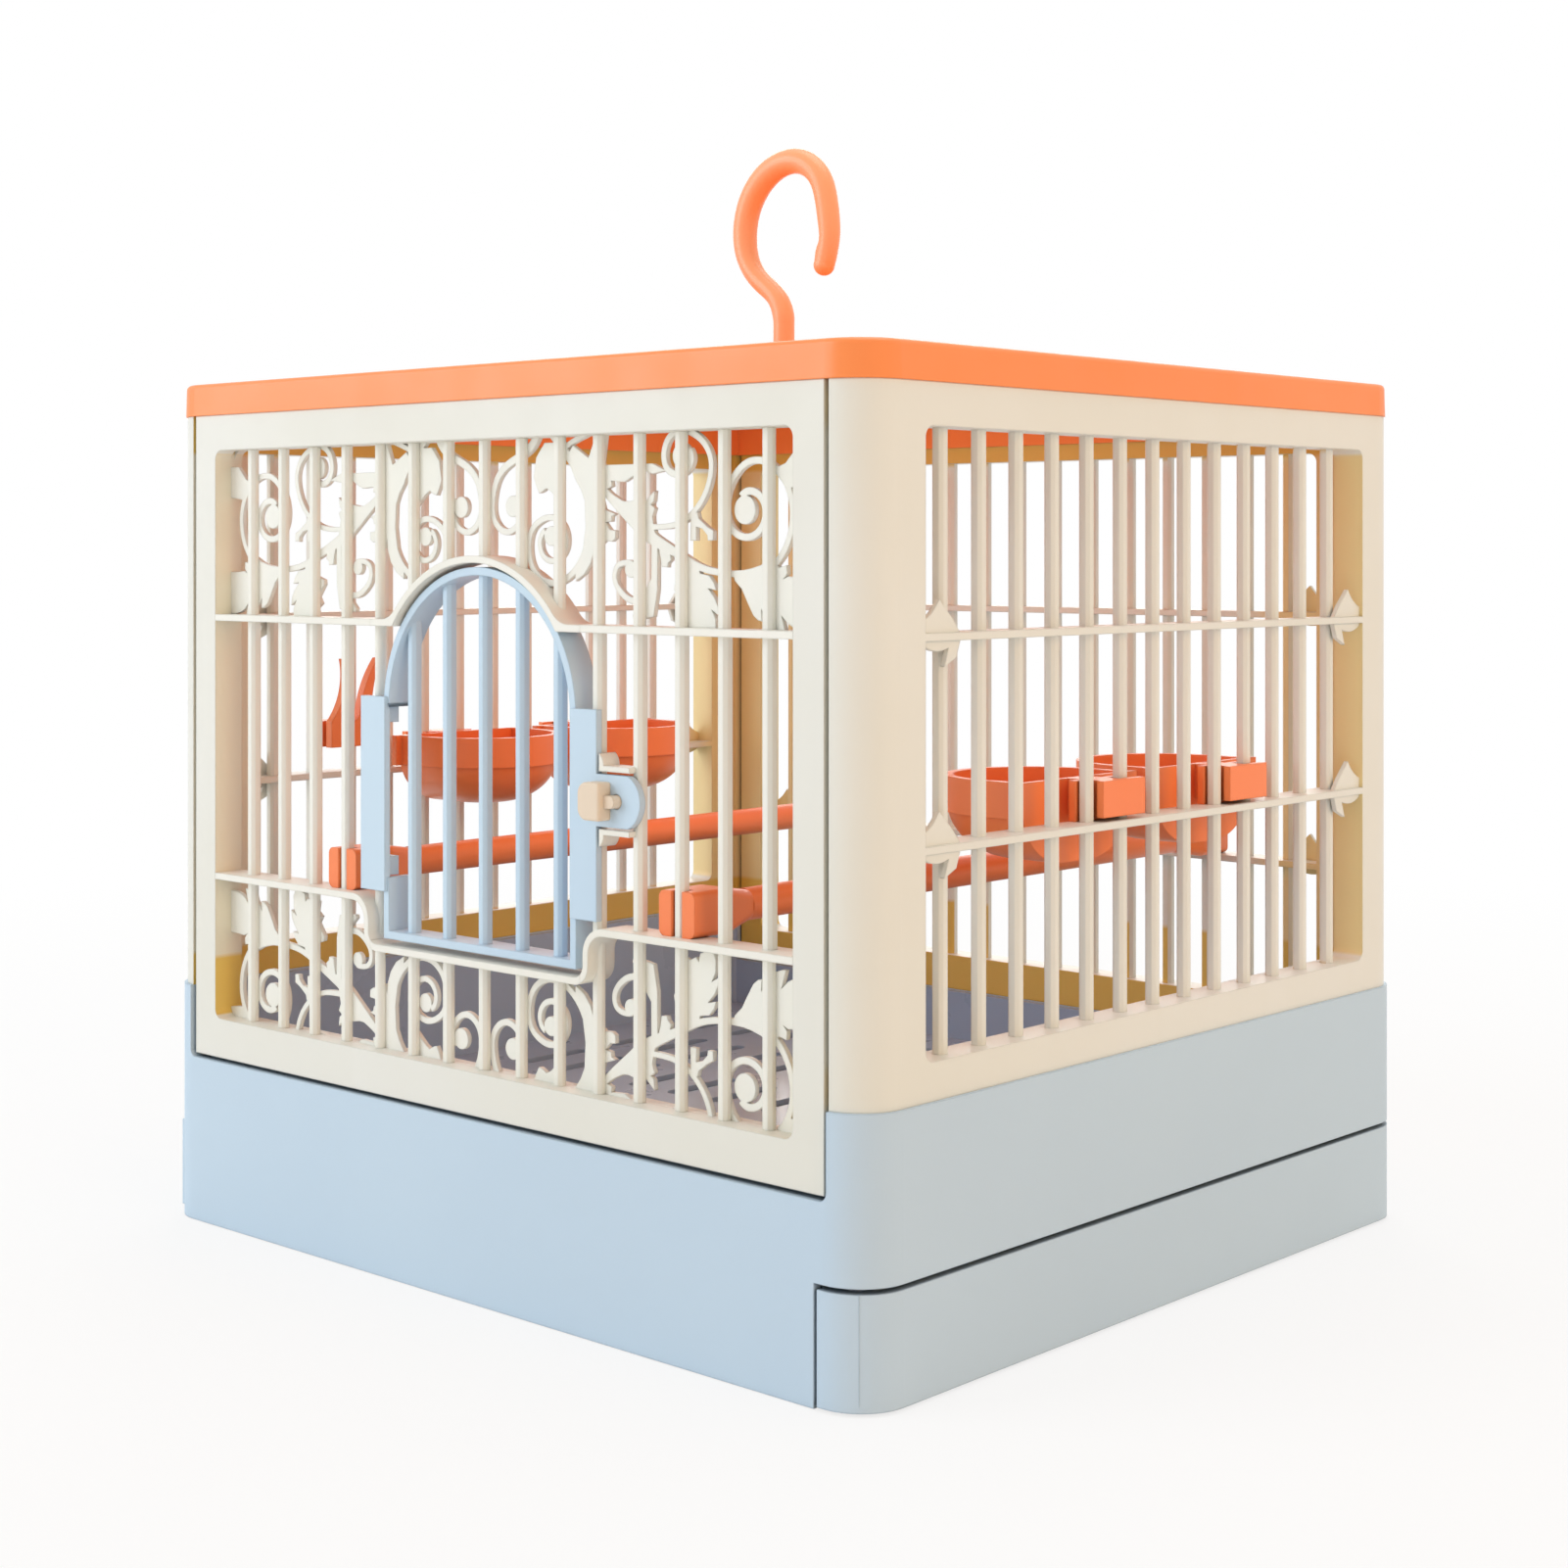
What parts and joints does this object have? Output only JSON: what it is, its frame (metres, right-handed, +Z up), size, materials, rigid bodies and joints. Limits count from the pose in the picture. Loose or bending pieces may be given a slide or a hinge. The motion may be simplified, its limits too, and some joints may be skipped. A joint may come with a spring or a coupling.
{
  "type": "bird cage",
  "caption": "Square table or hanging bird cage with an arched door, scrollwork grilles, lift-off lid with hook, feeding cups, perches and a pull-out tray.",
  "frame": {"origin": "centre of the base's flat underside", "axes": "+Z up along the tallest extent, -Y towards the door, +X towards the drawer's pull-out side"},
  "size_m": [0.292, 0.2645, 0.337],
  "materials": {
    "lid_orange": "glossy moulded",
    "hook_orange": "satin moulded",
    "panel_cream": "satin moulded",
    "base_blue": "satin moulded",
    "door_blue": "satin moulded",
    "tub_grey": "glossy moulded",
    "fitting_orange": "satin moulded",
    "latch_cream": "satin moulded"
  },
  "bodies": {
    "cage": {"base_shell": "base_blue", "floor_tub": "tub_grey", "left_panel": "panel_cream", "right_panel": "panel_cream", "back_panel": "panel_cream", "front_frame": "panel_cream", "front_grille_left": "panel_cream", "front_grille_right": "panel_cream", "front_arch": "panel_cream", "front_sill": "panel_cream", "front_scroll_top": "panel_cream", "front_scroll_bottom": "panel_cream"},
    "drawer": {"drawer": "base_blue"},
    "lid": {"lid": "lid_orange"},
    "hook": {"hook": "hook_orange", "hook_retainer": "hook_orange"},
    "door": {"door": "door_blue"},
    "latch": {"latch_knob": "latch_cream", "latch_cam": "latch_cream"},
    "cup_left_front": {"cup_left_front": "fitting_orange"},
    "cup_left_back": {"cup_left_back": "fitting_orange"},
    "cup_right_front": {"cup_right_front": "fitting_orange"},
    "cup_right_back": {"cup_right_back": "fitting_orange"},
    "treat_holder": {"treat_holder": "fitting_orange"},
    "perch_left": {"perch_left": "fitting_orange"},
    "perch_right": {"perch_right": "fitting_orange"}
  },
  "joints": [
    {"name": "door_swing", "type": "hinge", "parent": "cage", "child": "door", "pos_m": [-0.0465, -0.1245, 0.14], "axis": [0, 0, -1], "range_deg": [0, 90]},
    {"name": "latch_turn", "type": "hinge", "parent": "door", "child": "latch", "pos_m": [0.0575, -0.129, 0.1435], "axis": [0, 1, 0], "range_deg": [0, 180]},
    {"name": "drawer_slide", "type": "slide", "parent": "cage", "child": "drawer", "axis": [1, 0, 0], "range_m": [0, 0.27]},
    {"name": "lid_lift", "type": "slide", "parent": "cage", "child": "lid", "axis": [0, 0, 1], "range_m": [0, 0.12]},
    {"name": "hook_swivel", "type": "hinge", "parent": "lid", "child": "hook", "pos_m": [0, 0, 0.262], "axis": [0, 0, 1], "continuous": true},
    {"name": "cup_left_front_lift", "type": "slide", "parent": "cage", "child": "cup_left_front", "axis": [0, 0, 1], "range_m": [0, 0.035]},
    {"name": "cup_left_back_lift", "type": "slide", "parent": "cage", "child": "cup_left_back", "axis": [0, 0, 1], "range_m": [0, 0.035]},
    {"name": "cup_right_front_lift", "type": "slide", "parent": "cage", "child": "cup_right_front", "axis": [0, 0, 1], "range_m": [0, 0.035]},
    {"name": "cup_right_back_lift", "type": "slide", "parent": "cage", "child": "cup_right_back", "axis": [0, 0, 1], "range_m": [0, 0.035]},
    {"name": "treat_holder_lift", "type": "slide", "parent": "cage", "child": "treat_holder", "axis": [0, 0, 1], "range_m": [-0.008, 0.03]},
    {"name": "perch_left_lift", "type": "slide", "parent": "cage", "child": "perch_left", "axis": [0, 0, 1], "range_m": [0, 0.06]},
    {"name": "perch_right_lift", "type": "slide", "parent": "cage", "child": "perch_right", "axis": [0, 0, 1], "range_m": [0, 0.06]}
  ]
}
